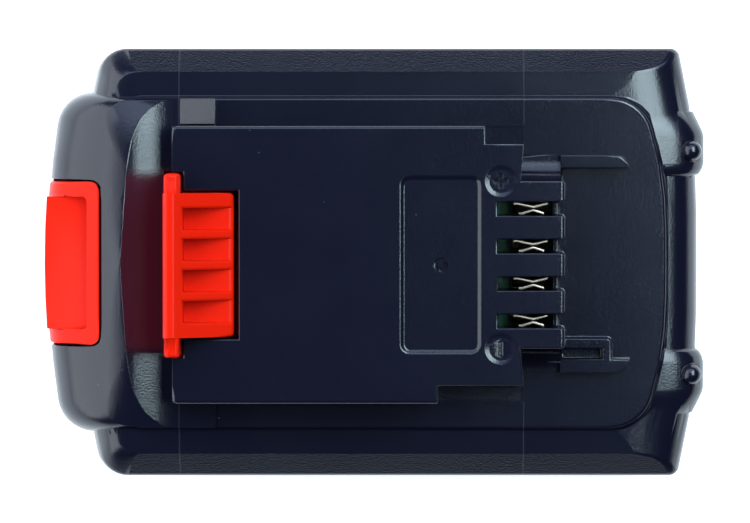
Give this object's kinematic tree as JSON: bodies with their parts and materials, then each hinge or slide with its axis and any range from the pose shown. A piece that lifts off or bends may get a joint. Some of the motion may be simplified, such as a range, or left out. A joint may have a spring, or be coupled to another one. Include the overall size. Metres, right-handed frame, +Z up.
{
  "type": "power tool battery pack",
  "caption": "Slide-on rechargeable battery pack for a cordless tool, with undercut keyed rails, a comb of contact slots, and a sprung latch with a release button on a rounded nose.",
  "frame": {"origin": "on the ground under the middle of the pack", "axes": "+X from the release button towards the contacts, +Y to the left of that, +Z up"},
  "size_m": [0.1171, 0.076, 0.046],
  "materials": {
    "case_black": "satin moulded black with a fine grain",
    "latch_red": "satin moulded red",
    "spring_steel": "drawn wire",
    "screw_steel": "dark plated steel",
    "frame_grey": "moulded grey",
    "can_steel": "nickel-plated steel",
    "wrap_green": "shrink film",
    "washer_card": "pressed card",
    "nickel": "spot-welded nickel strip",
    "sheet_card": "insulating paper",
    "board_green": "solder mask",
    "chip_black": "moulded epoxy",
    "resistor_body": "fired ceramic",
    "bead_epoxy": "dipped epoxy",
    "clip_metal": "tin-plated spring bronze"
  },
  "bodies": {
    "case": {"bottom_case": "case_black", "top_cover": "case_black", "latch_springs": "spring_steel", "case_screws": "screw_steel", "cell_frame_left": "frame_grey", "cell_frame_right": "frame_grey", "cell_wraps": "wrap_green", "cell_washers": "washer_card", "negative_strip": "nickel", "positive_strip": "nickel", "insulator_left": "sheet_card", "insulator_right": "sheet_card", "circuit_board": "board_green", "board_screws": "screw_steel", "power_transistors": "chip_black", "control_chip": "chip_black", "chip_resistors": "resistor_body", "thermistor": "bead_epoxy", "cell_1": "can_steel", "cell_2": "can_steel", "cell_3": "can_steel", "cell_4": "can_steel", "cell_5": "can_steel", "series_link_1": "nickel", "series_link_2": "nickel", "series_link_3": "nickel", "series_link_4": "nickel", "contact_clip_1": "clip_metal", "contact_clip_2": "clip_metal", "contact_clip_3": "clip_metal", "contact_clip_4": "clip_metal"},
    "latch": {"latch": "latch_red"}
  },
  "joints": [
    {"name": "latch_slide", "type": "slide", "parent": "case", "child": "latch", "axis": [0, 0, -1], "range_m": [0, 0.0048], "stiffness_N_per_m": 800, "springref_m": -0.006, "deforming": ["latch_springs"]}
  ]
}
